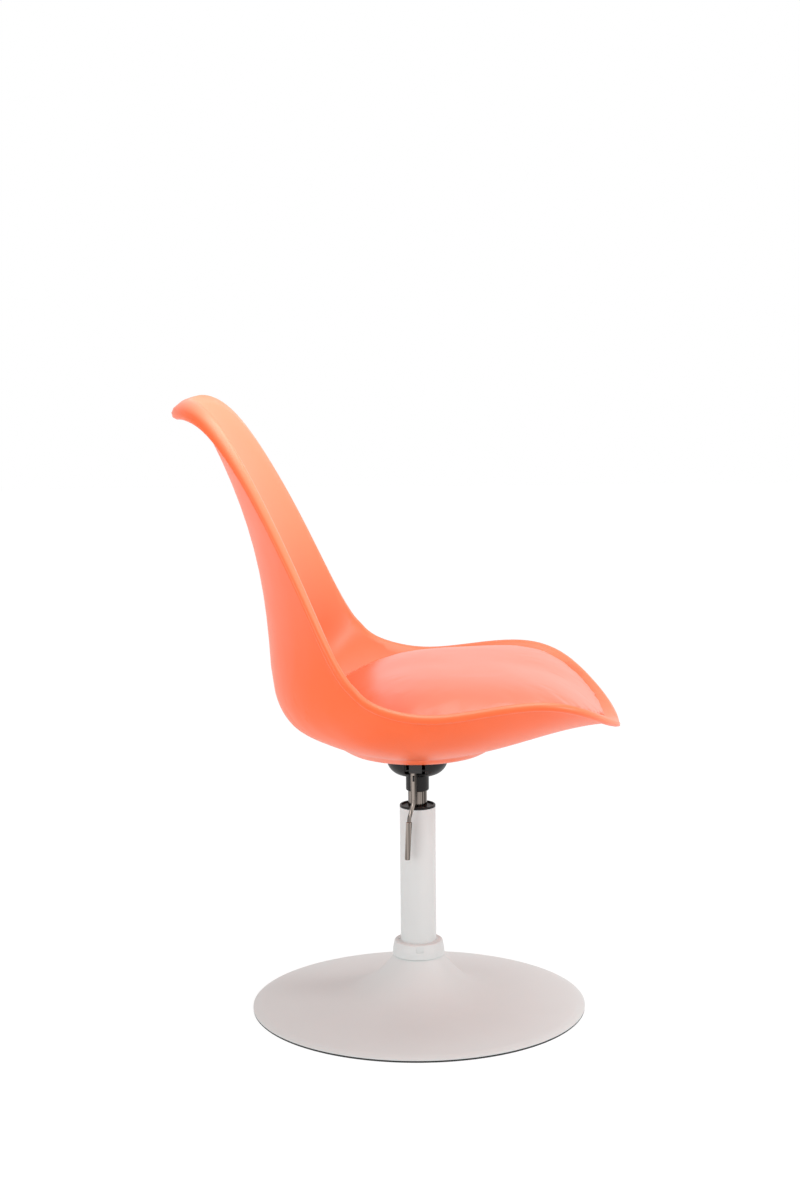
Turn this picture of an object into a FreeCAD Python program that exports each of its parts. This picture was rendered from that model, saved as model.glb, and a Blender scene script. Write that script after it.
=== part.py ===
"""Swivel dining chair: a moulded bucket seat with a cushion on a gas column and a trumpet base.

Millimetres, +Z up, +X to the front of the seat. The origin is on the column's axis, on the floor.
"""
import FreeCAD, Part
import math
import os
import Sketcher

doc = FreeCAD.newDocument("SwivelDiningChair")
sheet = doc.addObject("Spreadsheet::Sheet", "Sizes")
nodes = []


class Length:
    """A size of the sheet, or a length worked out from such sizes, with its formula."""

    def __init__(self, text, value):
        self.text = text
        self.value = value

    def combined(self, sign, other, value):
        return Length("(%s %s %s)" % (self.text, sign, other.text), value)

    def __add__(self, other):
        other = as_length(other)
        return self.combined("+", other, self.value + other.value)

    def __sub__(self, other):
        other = as_length(other)
        return self.combined("-", other, self.value - other.value)

    def __mul__(self, other):
        other = as_length(other)
        return self.combined("*", other, self.value * other.value)

    def __truediv__(self, other):
        other = as_length(other)
        return self.combined("/", other, self.value / other.value)

    def __radd__(self, other):
        return as_length(other) + self

    def __rsub__(self, other):
        return as_length(other) - self

    def __rmul__(self, other):
        return as_length(other) * self

    def __neg__(self):
        return as_length(0) - self


def as_length(value):
    if isinstance(value, Length):
        return value
    return Length("(%.6f)" % value, float(value))


def size(name, value):
    """Write one driving dimension into the sheet and return it."""
    row = size.rows = getattr(size, "rows", 0) + 1
    sheet.set("A%d" % row, name.replace("_", " "))
    sheet.set("B%d" % row, str(value))
    sheet.setAlias("B%d" % row, name)
    sheet.recompute()
    return Length("Sizes." + name, float(sheet.get(name)))


def bind(item, prop, length):
    item.setExpression(prop, as_length(length).text)


def node(item, label):
    """Name a finished piece: its label is the name of its file."""
    item.Label = label
    nodes.append(item)
    return item


def place(item, x=0, y=0, z=0):
    for axis, length in (("x", x), ("y", y), ("z", z)):
        bind(item, "Placement.Base." + axis, length)
    return item


def new_sketch(body, role, name):
    """A sketch on one of the origin planes of its own body."""
    sketch = body.newObject("Sketcher::SketchObject", name)
    plane = [item for item in body.Origin.OriginFeatures if item.Role == role][0]
    sketch.AttachmentSupport = [(plane, "")]
    sketch.MapMode = "FlatFace"
    return sketch


def draw_outline(sketch, outline):
    """A closed outline of straight lines whose corners are bound to the sizes."""
    corners = [FreeCAD.Vector(as_length(a).value, as_length(b).value, 0) for a, b in outline]
    count = len(corners)
    for index in range(count):
        sketch.addGeometry(Part.LineSegment(corners[index], corners[(index + 1) % count]), False)
    for index in range(count):
        after = (index + 1) % count
        sketch.addConstraint(Sketcher.Constraint("Coincident", index, 2, after, 1))
    for index, (across, along) in enumerate(outline):
        for kind, length, axis in (("DistanceX", across, -2), ("DistanceY", along, -1)):
            length = as_length(length)
            if length.value == 0:
                sketch.addConstraint(Sketcher.Constraint("PointOnObject", index, 1, axis))
                continue
            number = sketch.addConstraint(Sketcher.Constraint(kind, -1, 1, index, 1, length.value))
            bind(sketch, "Constraints[%d]" % number, length)


def turning(name, outline, rounds=()):
    """A lathe-turned form: the outline lists radius and height, rounds lists edges to fillet."""
    body = doc.addObject("PartDesign::Body", name + "_body")
    sketch = new_sketch(body, "XZ_Plane", name + "_profile")
    draw_outline(sketch, outline)
    feature = body.newObject("PartDesign::Revolution", name + "_turning")
    feature.Profile = sketch
    feature.ReferenceAxis = (sketch, ["V_Axis"])
    feature.Angle = 360.0
    doc.recompute()
    for radius, height, fillet in rounds:
        feature = round_edge(body, feature, radius, height, fillet)
    return body


def turned(label, outline, rounds=()):
    """A lathe-turned piece that needs no further cut."""
    return node(turning(label, outline, rounds), label)


def round_edge(body, feature, radius, height, fillet):
    """Fillet the circular edge that lies at a radius and a height."""
    names = []
    for index, edge in enumerate(feature.Shape.Edges):
        curve = edge.Curve
        if not isinstance(curve, Part.Circle):
            continue
        level = abs(curve.Center.z - as_length(height).value) < 0.01
        if level and abs(curve.Radius - as_length(radius).value) < 0.01:
            names.append("Edge%d" % (index + 1))
    rounded = body.newObject("PartDesign::Fillet", feature.Name + "_round")
    rounded.Base = (feature, names)
    bind(rounded, "Radius", fillet)
    body.Tip = rounded
    doc.recompute()
    return rounded


def drill(body, radius, pitch, count, top, start=0.0):
    """Holes on a pitch circle, right through the body from a height downwards."""
    name = body.Label
    sketch = new_sketch(body, "XY_Plane", name + "_hole_circle")
    bind(sketch, "AttachmentOffset.Base.z", top)
    turn = math.radians(start)
    across = pitch * math.cos(turn)
    along = pitch * math.sin(turn)
    centre = FreeCAD.Vector(across.value, along.value, 0)
    sketch.addGeometry(Part.Circle(centre, FreeCAD.Vector(0, 0, 1), radius.value), False)
    number = sketch.addConstraint(Sketcher.Constraint("Radius", 0, radius.value))
    bind(sketch, "Constraints[%d]" % number, radius)
    for kind, length, axis in (("DistanceX", across, -2), ("DistanceY", along, -1)):
        if abs(length.value) < 1e-6:
            sketch.addConstraint(Sketcher.Constraint("PointOnObject", 0, 3, axis))
            continue
        number = sketch.addConstraint(Sketcher.Constraint(kind, -1, 1, 0, 3, length.value))
        bind(sketch, "Constraints[%d]" % number, length)
    pocket = body.newObject("PartDesign::Pocket", name + "_hole")
    pocket.Profile = sketch
    pocket.Type = "ThroughAll"
    doc.recompute()
    pattern = body.newObject("PartDesign::PolarPattern", name + "_holes")
    pattern.Originals = [pocket]
    pattern.Axis = (sketch, ["N_Axis"])
    pattern.Angle = 360.0
    pattern.Occurrences = count
    body.Tip = pattern
    doc.recompute()
    return body


def cylinder(name, radius, bottom, top, x=0, y=0):
    item = doc.addObject("Part::Cylinder", name)
    bind(item, "Radius", radius)
    bind(item, "Height", as_length(top) - bottom)
    return place(item, x, y, bottom)


def cone(name, bottom_radius, top_radius, bottom, top, x=0, y=0):
    item = doc.addObject("Part::Cone", name)
    bind(item, "Radius1", bottom_radius)
    bind(item, "Radius2", top_radius)
    bind(item, "Height", as_length(top) - bottom)
    return place(item, x, y, bottom)


def hexagon(name, across_flats, bottom, top, x=0, y=0):
    item = doc.addObject("Part::Prism", name)
    item.Polygon = 6
    bind(item, "Circumradius", across_flats / math.sqrt(3))
    bind(item, "Height", as_length(top) - bottom)
    return place(item, x, y, bottom)


def box(name, x, y, z, length, width, height):
    """A block from its lowest corner and its three sides."""
    item = doc.addObject("Part::Box", name)
    bind(item, "Length", length)
    bind(item, "Width", width)
    bind(item, "Height", height)
    return place(item, x, y, z)


def fuse(name, items):
    item = doc.addObject("Part::MultiFuse", name)
    item.Shapes = items
    item.Refine = True
    return item


def cut(name, base, tool):
    item = doc.addObject("Part::Cut", name)
    item.Base = base
    item.Tool = tool
    return item


def group(label, items):
    """Identical pieces that share a node, each a separate solid."""
    item = doc.addObject("Part::Compound", label + "_group")
    item.Links = items
    return node(item, label)


def shaped(label, shape):
    """A piece whose form no feature gives: its shape is worked out from the sheet."""
    item = doc.addObject("Part::Feature", label + "_form")
    item.Shape = shape
    return node(item, label)


def around(count, pitch, start):
    """Places on a pitch circle, as x and y lengths."""
    turns = [math.radians(start + 360.0 * index / count) for index in range(count)]
    return [(pitch * math.cos(turn), pitch * math.sin(turn)) for turn in turns]


# Heights of the stack, from the floor up
weight_lift = size("weight_plate_lift", 1.5)
plate_thickness = size("weight_plate_thickness", 4)
flange_thickness = size("flange_thickness", 5)
column_length = size("column_length", 267.5)
bush_flange_height = size("bush_flange_height", 3)
cylinder_shown = size("cylinder_shown", 19.5)
boot_height = size("boot_height", 22)
bowl_height = size("bowl_height", 31.5)

plate_top = weight_lift + plate_thickness
flange_top = plate_top + flange_thickness
column_top = flange_top + column_length
bush_top = column_top + bush_flange_height
boot_bottom = bush_top + cylinder_shown
bowl_bottom = boot_bottom + boot_height
boss_bottom = bowl_bottom + bowl_height

slip = size("slip_clearance", 0.05)
loose = size("loose_clearance", 0.3)

# Base: rubber ring, weight plate and trumpet dish
rim_radius = size("rim_radius", 225)
dish_wall = size("dish_wall", 1.2)
rim_lift = size("rim_lift", 2.8)
rim_roll = size("rim_roll_width", 12)
rim_fall = size("rim_roll_fall", 3.1)
rim_bulge = size("rim_roll_bulge", 0.5)
gasket_width = size("gasket_width", 19.8)
gasket_inset = size("gasket_inset", 0.2)
neck_radius = size("dish_neck_radius", 35)
neck_height = size("dish_neck_height", 74)
neck_edge = size("dish_neck_edge", 2.5)
flare_line = size("dish_flare_line", 0.2)
flare_power = size("dish_flare_power", 5.2)
column_radius = size("column_radius", 24)
column_wall = size("column_wall", 2)
screw_pitch = size("flange_screw_pitch", 40)
screw_radius = size("flange_screw_radius", 4)
screw_count = 4

rim_edge = rim_lift + dish_wall
rim_crown = rim_edge + rim_fall
roll_middle = rim_edge + rim_fall / 2 + rim_bulge
gasket_outer = rim_radius - gasket_inset
gasket_inner = gasket_outer - gasket_width
gasket_lip = size("gasket_lip", 1)
turned(
    "rim_gasket",
    [
        (gasket_inner, 0),
        (gasket_outer - gasket_lip, 0),
        (gasket_outer, gasket_lip),
        (gasket_outer, rim_lift - slip),
        (rim_radius - rim_roll / 2, roll_middle - dish_wall - loose),
        (rim_radius - rim_roll, rim_crown - dish_wall - loose),
        (gasket_inner, rim_crown - dish_wall - loose),
    ],
)

head_drop = size("flange_screw_head_depth", 3.6)
plate_bore = size("weight_plate_bore", 16)
plate_outer = gasket_inner - loose
plate = turned(
    "base_plate",
    [
        (plate_bore, weight_lift),
        (plate_outer, weight_lift),
        (plate_outer, plate_top),
        (plate_bore, plate_top),
    ],
)
drill(plate, screw_radius + head_drop + slip, screw_pitch, screw_count, plate_top)


def dish_shape():
    """Spun sheet: a rim that rolls down, a long hollow flare and a flat seat for the collar."""
    wall = dish_wall.value
    rim = rim_radius.value
    roll = rim_roll.value
    neck = neck_radius.value
    foot = FreeCAD.Vector(rim - roll, 0, rim_crown.value)
    climb = neck_height.value - neck_edge.value - foot.z

    def flare(share):
        """The sheet's upper face, from the roll at 0 to the neck at 1."""
        rise = flare_line.value * share + (1 - flare_line.value) * share**flare_power.value
        return FreeCAD.Vector(foot.x + (neck - foot.x) * share, 0, foot.z + climb * rise)

    def sheet_line(depth):
        """The upper face's line, or the lower face's when it is the wall's depth below."""
        down = FreeCAD.Vector(0, 0, depth)
        points = []
        for share in (0.0, 0.2, 0.4, 0.55, 0.7, 0.8, 0.88, 0.94, 1.0):
            way = (flare(share + 0.001) - flare(share)).normalize()
            points.append(flare(share) - FreeCAD.Vector(way.z, 0, -way.x) * depth)
        points[0] = foot - down
        roll_line = Part.Arc(
            FreeCAD.Vector(rim, 0, rim_edge.value) - down,
            FreeCAD.Vector(rim - roll / 2, 0, roll_middle.value) - down,
            points[0],
        )
        spline = Part.BSplineCurve()
        spline.interpolate(points)
        corner = FreeCAD.Vector(neck - neck_edge.value - depth / 2, 0, neck_height.value - depth)
        seat = FreeCAD.Vector(column_radius.value + loose.value, 0, corner.z)
        return [
            roll_line.toShape(),
            spline.toShape(),
            Part.LineSegment(points[-1], corner).toShape(),
            Part.LineSegment(corner, seat).toShape(),
        ]

    upper = sheet_line(0.0)
    lower = sheet_line(wall)
    ends = [
        Part.LineSegment(upper[0].Vertexes[0].Point, lower[0].Vertexes[0].Point).toShape(),
        Part.LineSegment(upper[-1].Vertexes[-1].Point, lower[-1].Vertexes[-1].Point).toShape(),
    ]
    wire = Part.Wire(Part.__sortEdges__(upper + lower + ends))
    return Part.Face(wire).revolve(FreeCAD.Vector(0, 0, 0), FreeCAD.Vector(0, 0, 1), 360)


shaped("base_dish", dish_shape())

# Column: painted tube on a screwed flange, with a collar over the joint
tube_inner = column_radius - column_wall
turned(
    "column_tube",
    [
        (tube_inner, flange_top),
        (column_radius, flange_top),
        (column_radius, column_top),
        (tube_inner, column_top),
    ],
)

rod_end_radius = size("rod_end_radius", 4)
flange_radius = size("flange_radius", 52)
flange = turned(
    "column_flange",
    [
        (rod_end_radius + slip, plate_top),
        (flange_radius, plate_top),
        (flange_radius, flange_top),
        (rod_end_radius + slip, flange_top),
    ],
)
drill(flange, screw_radius + slip, screw_pitch, screw_count, flange_top)

nut_height = size("flange_nut_height", 6.5)
nut_width = size("flange_nut_width", 13)
screw_tip = size("flange_screw_tip", 2)
nut_top = flange_top + nut_height
screws = []
nuts = []
for index, (x, y) in enumerate(around(screw_count, screw_pitch, 0)):
    head = cone("screw_head%d" % index, screw_radius + head_drop, screw_radius,
                weight_lift, plate_top - slip, x, y)
    shank = cylinder("screw_shank%d" % index, screw_radius, weight_lift, nut_top + screw_tip, x, y)
    screws.append(fuse("flange_screw%d" % index, [head, shank]))
    blank = hexagon("nut_blank%d" % index, nut_width, flange_top, nut_top, x, y)
    bore = cylinder("nut_bore%d" % index, screw_radius + slip, flange_top - 1, nut_top + 1, x, y)
    nuts.append(cut("flange_nut%d" % index, blank, bore))
group("flange_screws", screws)
group("flange_nuts", nuts)

collar_height = size("collar_height", 19.5)
collar_top_radius = size("collar_top_radius", 32.2)
collar_shoulder = size("collar_shoulder_height", 8)
collar_draft = size("collar_draft", 0.4)
collar_bore = column_radius + slip
collar_top = neck_height + collar_height
collar_side = neck_radius - collar_draft
collar_blank = turning(
    "collar_blank",
    [
        (collar_bore, neck_height),
        (neck_radius, neck_height),
        (collar_side, neck_height + collar_shoulder),
        (collar_top_radius, collar_top),
        (collar_bore, collar_top),
    ],
    [(collar_side, neck_height + collar_shoulder, size("collar_belly_round", 20)),
     (collar_top_radius, collar_top, size("collar_edge_round", 2.5))],
)

# A small screw in the collar's top clamps it, and a shallow recess in front takes a tool
collar_screw_radius = size("collar_screw_radius", 1.4)
collar_screw_x = -size("collar_screw_back", 26.2)
collar_screw_length = size("collar_screw_length", 8)
collar_screw_sink = size("collar_screw_sink", 0.6)
recess_centre = size("collar_recess_centre", 1.4)
recess_half = size("collar_recess_half_width", 4.7)
recess_height = size("collar_recess_height", 8.5)
recess_bottom = neck_height + size("collar_recess_rise", 9.5)
recess_depth = size("collar_recess_depth", 2.6)
screw_bottom = collar_top - collar_screw_sink - collar_screw_length
collar_cuts = fuse("collar_cuts", [
    cylinder("collar_screw_hole", collar_screw_radius + slip, screw_bottom, collar_top + 1,
             collar_screw_x),
    box("collar_recess", recess_centre - recess_half, -neck_radius, recess_bottom,
        recess_half * 2, recess_depth, recess_height),
])
node(cut("collar_cut", collar_blank, collar_cuts), "base_collar")
node(cylinder("collar_screw_body", collar_screw_radius, screw_bottom, collar_top - collar_screw_sink,
              collar_screw_x), "collar_screw")

# Guide bush in the top of the column
cylinder_radius = size("cylinder_radius", 12.75)
bush_depth = size("bush_depth", 40)
bush_rim = size("bush_rim_width", 2.5)
bush_sink = size("bush_sink", 2)
bush_bore = cylinder_radius + slip
turned(
    "guide_bush",
    [
        (bush_bore, column_top - bush_depth),
        (tube_inner - slip, column_top - bush_depth),
        (tube_inner - slip, column_top),
        (column_radius, column_top),
        (column_radius, bush_top),
        (column_radius - bush_rim, bush_top),
        (column_radius - bush_rim, bush_top - bush_sink),
        (bush_bore, bush_top - bush_sink),
    ],
    [(column_radius, bush_top, size("bush_edge_round", 1))],
)

# Thrust bearing and piston rod at the foot of the column
race_thickness = size("race_thickness", 2.5)
race_outer = size("race_outer_radius", 12)
rod_radius = size("rod_radius", 5)
ball_radius = size("ball_radius", 2)
ball_pitch = size("ball_pitch", 8.7)
ball_count = 10
cage_height = size("cage_height", 2)
cage_play = size("ball_play", 0.04)

ball_bottom = flange_top + race_thickness + cage_play
ball_centre = ball_bottom + ball_radius
top_race_bottom = ball_centre + ball_radius + cage_play
top_race_top = top_race_bottom + race_thickness


def washer(label, inner, outer, bottom, top):
    return turned(label, [(inner, bottom), (outer, bottom), (outer, top), (inner, top)])


washer("bearing_bottom_race", rod_end_radius + loose, race_outer, flange_top, flange_top + race_thickness)
cage = washer("ball_cage", rod_end_radius + loose, race_outer - loose,
              ball_centre - cage_height / 2, ball_centre + cage_height / 2)
drill(cage, ball_radius + cage_play, ball_pitch, ball_count, ball_centre + cage_height)
balls = []
for index, (x, y) in enumerate(around(ball_count, ball_pitch, 0)):
    ball = doc.addObject("Part::Sphere", "ball%d" % index)
    bind(ball, "Radius", ball_radius)
    balls.append(place(ball, x, y, ball_centre))
group("bearing_balls", balls)
washer("bearing_top_race", rod_end_radius + slip, race_outer, top_race_bottom, top_race_top)

travel = size("lift_travel", 120)
buffer_height = size("buffer_height", 16)
buffer_radius = size("buffer_radius", 9)
guide_height = size("cylinder_guide_height", 16)
seal_height = size("cylinder_seal_height", 4)
piston_height = size("piston_height", 12)
clip_thickness = size("clip_thickness", 1.5)
clip_width = size("clip_width", 4)
clip_groove = size("clip_groove", 1)
rod_tip = size("rod_tip", 0.6)

piston_play = size("piston_over_seal", 6)

clip_top = plate_top - slip
clip_bottom = clip_top - clip_thickness
cylinder_bottom = top_race_top + buffer_height + slip
piston_bottom = cylinder_bottom + travel + guide_height + seal_height + piston_play
piston_top = piston_bottom + piston_height
turned(
    "piston_rod",
    [
        (0, weight_lift + rod_tip),
        (rod_end_radius, weight_lift + rod_tip),
        (rod_end_radius, clip_bottom - slip),
        (rod_end_radius - clip_groove, clip_bottom - slip),
        (rod_end_radius - clip_groove, plate_top),
        (rod_end_radius, plate_top),
        (rod_end_radius, top_race_top),
        (rod_radius, top_race_top),
        (rod_radius, piston_bottom),
        (rod_end_radius, piston_bottom),
        (rod_end_radius, piston_top),
        (0, piston_top),
    ],
)
clip_ring = turning(
    "clip_ring",
    [
        (rod_end_radius - clip_groove + slip, clip_bottom),
        (rod_end_radius + clip_width, clip_bottom),
        (rod_end_radius + clip_width, clip_top),
        (rod_end_radius - clip_groove + slip, clip_top),
    ],
)
clip_mouth = rod_end_radius - clip_groove
clip_gap = box("clip_gap", 0, -clip_mouth, clip_bottom - 1,
               rod_end_radius + clip_width + 1, clip_mouth * 2, clip_thickness + 2)
node(cut("clip_cut", clip_ring, clip_gap), "rod_clip")
washer("rubber_buffer", rod_radius + loose, buffer_radius, top_race_top, top_race_top + buffer_height)

cylinder_wall = size("cylinder_wall", 1.8)
cylinder_bore = cylinder_radius - cylinder_wall
seal_groove = size("piston_groove_depth", 2)
seal_width = size("piston_groove_width", 4)
piston_middle = (piston_bottom + piston_top) / 2
piston_outer = cylinder_bore - slip
turned(
    "piston",
    [
        (rod_end_radius + slip, piston_bottom),
        (piston_outer, piston_bottom),
        (piston_outer, piston_middle - seal_width / 2),
        (piston_outer - seal_groove, piston_middle - seal_width / 2),
        (piston_outer - seal_groove, piston_middle + seal_width / 2),
        (piston_outer, piston_middle + seal_width / 2),
        (piston_outer, piston_top),
        (rod_end_radius + slip, piston_top),
    ],
)
washer("piston_seal", piston_outer - seal_groove + slip, piston_outer,
       piston_middle - seal_width / 2 + slip, piston_middle + seal_width / 2 - slip)

# Gas cylinder: straight below, tapered where it wedges into the cone socket
taper_length = size("taper_length", 40)
taper_top_radius = size("taper_top_radius", 11.8)
taper_start = size("taper_start", 3)
valve_length = size("valve_block_length", 22)
button_radius = size("valve_button_radius", 3)
taper_bottom = boot_bottom - taper_start
cylinder_top = taper_bottom + taper_length
turned(
    "gas_cylinder",
    [
        (cylinder_bore, cylinder_bottom),
        (cylinder_radius, cylinder_bottom),
        (cylinder_radius, taper_bottom),
        (taper_top_radius, cylinder_top),
        (button_radius + slip, cylinder_top),
        (button_radius + slip, cylinder_top - cylinder_wall),
        (taper_top_radius - cylinder_wall, cylinder_top - cylinder_wall),
        (cylinder_bore, taper_bottom),
    ],
)
guide_bottom = cylinder_bottom + slip
washer("cylinder_guide", rod_radius + slip, piston_outer, guide_bottom, guide_bottom + guide_height)
washer("cylinder_seal", rod_radius + slip, piston_outer, guide_bottom + guide_height,
       guide_bottom + guide_height + seal_height)

valve_top = cylinder_top - cylinder_wall
valve_bottom = valve_top - valve_length
valve_radius = taper_top_radius - cylinder_wall - slip
spring_bore = size("valve_spring_bore_radius", 4.5)
button_travel = size("valve_button_travel", 3.4)
button_foot = valve_bottom + size("valve_floor", 3)
spring_room = size("valve_spring_height", 9)
button_step = button_foot + spring_room
turned(
    "valve_block",
    [
        (0, valve_bottom),
        (valve_radius, valve_bottom),
        (valve_radius, valve_top),
        (button_radius + slip, valve_top),
        (button_radius + slip, button_step),
        (spring_bore, button_step),
        (spring_bore, button_foot),
        (0, button_foot),
    ],
)

# Lever, its pivot and the pressed-steel mechanism
lever_arm = size("lever_arm", 24)
nose_radius = size("lever_nose_radius", 3.8)
pivot_rise = size("pivot_rise", 10)
nose_gap = size("nose_gap", 0.3)
pivot_z = cylinder_top + pivot_rise
button_top = pivot_z - nose_radius - nose_gap
spring_wall = size("valve_spring_wall", 1)
button_tail = button_step - size("valve_button_tail", 2)
spring_rest = spring_room - button_travel - size("valve_spring_play", 0.6)
turned(
    "valve_button",
    [
        (0, button_tail),
        (button_radius, button_tail),
        (button_radius, button_top),
        (0, button_top),
    ],
    [(button_radius, button_top, size("button_edge_round", 0.8))],
)
washer("valve_spring", spring_bore - loose - spring_wall, spring_bore - loose, button_foot,
       button_foot + spring_rest)

plate_depth = size("mounting_plate_thickness", 3)
pocket_play = size("mounting_plate_recess", 0.5)
plate_bottom = boss_bottom + pocket_play
plate_upper = plate_bottom + plate_depth
channel_sheet = size("channel_sheet", 2)
channel_half = size("channel_half_width", 17)
channel_back = size("channel_back", 24)
bowl_radius = size("bowl_radius", 41)
bowl_wall = size("bowl_wall", 2)
channel_front = bowl_radius - bowl_wall - size("channel_front_clear", 10)
socket_wall = size("socket_wall", 1.4)
socket_outer = cylinder_radius + socket_wall
channel_bottom = cylinder_top - size("channel_drop", 5)
channel_height = plate_bottom - channel_bottom
blank = box("channel_blank", -channel_half, -channel_front, channel_bottom,
            channel_half * 2, channel_front + channel_back, channel_height)
trough = box("channel_trough", -channel_half + channel_sheet, -channel_front - 1,
             channel_bottom + channel_sheet, channel_half * 2 - channel_sheet * 2,
             channel_front + channel_back + 2, channel_height)
socket_hole = cylinder("socket_hole", socket_outer + slip, channel_bottom - 1, plate_bottom + 1)
pin_radius = size("lever_pin_radius", 2.5)


def crosswise(name, radius, half_length, z, y):
    """A cylinder along X, centred on the middle of the chair."""
    item = doc.addObject("Part::Cylinder", name)
    way = FreeCAD.Rotation(FreeCAD.Vector(0, 1, 0), 90)
    item.Placement = FreeCAD.Placement(FreeCAD.Vector(), way)
    bind(item, "Radius", radius)
    bind(item, "Height", as_length(half_length) * 2)
    return place(item, -as_length(half_length), y, z)


pin_hole = crosswise("pin_hole", pin_radius + slip, channel_half + 1, pivot_z, -lever_arm)
channel = cut("channel_bent", blank, trough)
channel = cut("channel_holed", channel, socket_hole)
node(cut("channel_pierced", channel, pin_hole), "mechanism_channel")
pin_end = size("lever_pin_end", 1.5)
node(crosswise("pin", pin_radius, channel_half + pin_end, pivot_z, -lever_arm), "lever_pin")

taper_slope = (cylinder_radius - taper_top_radius) / taper_length
socket_top = channel_bottom + channel_sheet
socket_step = size("socket_step", 2.6)
socket_bottom = boot_bottom + socket_step
turned(
    "cone_socket",
    [
        (cylinder_radius + slip - taper_slope * (taper_start + socket_step), socket_bottom),
        (socket_outer, socket_bottom),
        (socket_outer, socket_top),
        (taper_top_radius + slip + taper_slope * (cylinder_top - socket_top), socket_top),
    ],
)

boot_radius = size("boot_radius", 15.4)
boot_lip = size("boot_lip", 3)
turned(
    "neck_boot",
    [
        (cylinder_radius + loose, boot_bottom),
        (boot_radius, boot_bottom),
        (boot_radius, bowl_bottom + bowl_wall + slip),
        (boot_radius + boot_lip, bowl_bottom + bowl_wall + slip),
        (boot_radius + boot_lip, bowl_bottom + bowl_wall * 2),
        (socket_outer + slip, bowl_bottom + bowl_wall * 2),
        (socket_outer + slip, socket_bottom - slip),
        (cylinder_radius + loose, socket_bottom - slip),
    ],
    [(boot_radius, boot_bottom, size("boot_round", 2))],
)

bowl_round = size("bowl_round", 22)
bowl_top = plate_bottom - slip
bowl = turning(
    "bowl_blank",
    [
        (boot_radius + slip, bowl_bottom),
        (bowl_radius, bowl_bottom),
        (bowl_radius, bowl_top),
        (bowl_radius - bowl_wall, bowl_top),
        (bowl_radius - bowl_wall, bowl_bottom + bowl_wall),
        (boot_radius + slip, bowl_bottom + bowl_wall),
    ],
    [(bowl_radius, bowl_bottom, bowl_round),
     (bowl_radius - bowl_wall, bowl_bottom + bowl_wall, bowl_round - bowl_wall)],
)
slot_left = size("slot_left", 17.3)
slot_right = size("slot_right", 9.9)
slot_reach = size("slot_reach", 14)
slot_rise = size("slot_rise", 7)
bowl_slot = box("bowl_slot", -slot_left, -bowl_radius - 1, bowl_bottom + slot_rise,
                slot_left + slot_right, slot_reach, bowl_height)
node(cut("bowl_slotted", bowl, bowl_slot), "mechanism_cover")

# Mounting plate in the recess of the shell's boss, and its bolts
washer_radius = size("bolt_washer_radius", 6.2)
bolt_pitch = bowl_radius + washer_radius + size("bolt_clear", 4.3)
plate_radius = bolt_pitch + size("mounting_plate_margin", 9.5)
bolt_radius = size("seat_bolt_radius", 3)
bolt_count = 4
bolt_start = 45
mount_plate = turned(
    "mounting_plate",
    [
        (0, plate_bottom),
        (plate_radius, plate_bottom),
        (plate_radius, plate_upper),
        (0, plate_upper),
    ],
)
drill(mount_plate, bolt_radius + slip, bolt_pitch, bolt_count, plate_upper, bolt_start)

washer_thickness = size("bolt_washer_thickness", 1)
head_height = size("seat_bolt_head", 3)
head_radius = size("seat_bolt_head_radius", 5)
key_width = size("bolt_key_width", 4)
key_depth = size("bolt_key_depth", 2)
insert_radius = size("insert_radius", 5)
insert_height = size("insert_height", 6)
washer_bottom = plate_bottom - washer_thickness
head_bottom = washer_bottom - head_height
seat_bolts = []
washers = []
inserts = []
for index, (x, y) in enumerate(around(bolt_count, bolt_pitch, bolt_start)):
    head = cylinder("bolt_head%d" % index, head_radius, head_bottom, washer_bottom, x, y)
    shank = cylinder("bolt_shank%d" % index, bolt_radius, head_bottom + head_height / 2,
                     plate_upper + insert_height, x, y)
    key = hexagon("bolt_key%d" % index, key_width, head_bottom - 1, head_bottom + key_depth / 2, x, y)
    seat_bolts.append(cut("seat_bolt%d" % index, fuse("bolt_blank%d" % index, [head, shank]), key))
    disc = cylinder("washer_disc%d" % index, washer_radius, washer_bottom, plate_bottom, x, y)
    bore = cylinder("washer_bore%d" % index, bolt_radius + slip, washer_bottom - 1, plate_bottom + 1, x, y)
    washers.append(cut("bolt_washer%d" % index, disc, bore))
    sleeve = cylinder("insert_sleeve%d" % index, insert_radius, plate_upper,
                      plate_upper + insert_height, x, y)
    thread = cylinder("insert_thread%d" % index, bolt_radius + slip, plate_upper - 1,
                      plate_upper + insert_height + 1, x, y)
    inserts.append(cut("shell_insert%d" % index, sleeve, thread))
group("seat_bolts", seat_bolts)
group("bolt_washers", washers)
group("shell_inserts", inserts)

# Lever: a black hub on the pin works the valve and holds a chrome strip, neck and grip
hub_radius = size("lever_hub_radius", 5.5)
hub_left = size("lever_hub_left", 11.3)
hub_right = size("lever_hub_right", 5.7)
arm_half = size("lever_arm_half_width", 4)
arm_thick = size("lever_arm_thickness", 4)
tongue_reach = size("lever_tongue_reach", 17)
tongue_depth = size("lever_tongue_depth", 5)
tongue_rise = size("lever_tongue_rise", 2.5)
tongue_fall = size("lever_tongue_fall", 15)
tongue_step = size("lever_tongue_step", 6)
tongue_play = size("lever_tongue_play", 1.5)
lever_side = size("lever_side", 5.5)
hang_reach = size("lever_hang_reach", 14.5)
strip_half = size("lever_strip_half_width", 3.8)
strip_thick = size("lever_strip_thickness", 4)
strip_bite = size("lever_strip_bite", 8)
strip_round = size("lever_strip_round", 1)
fork_half = size("lever_fork_half_width", 1.3)
fork_drop = size("lever_fork_drop", 26)
fork_length = size("lever_fork_length", 8)
knee_drop = size("lever_knee_drop", 55.5)
ankle_drop = size("lever_ankle_drop", 76.5)
ankle_side = size("lever_ankle_side", 11.5)
tip_drop = size("lever_tip_drop", 130.5)
tip_side = size("lever_tip_side", 14.3)
thin_rod = size("lever_thin_radius", 2.7)
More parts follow.
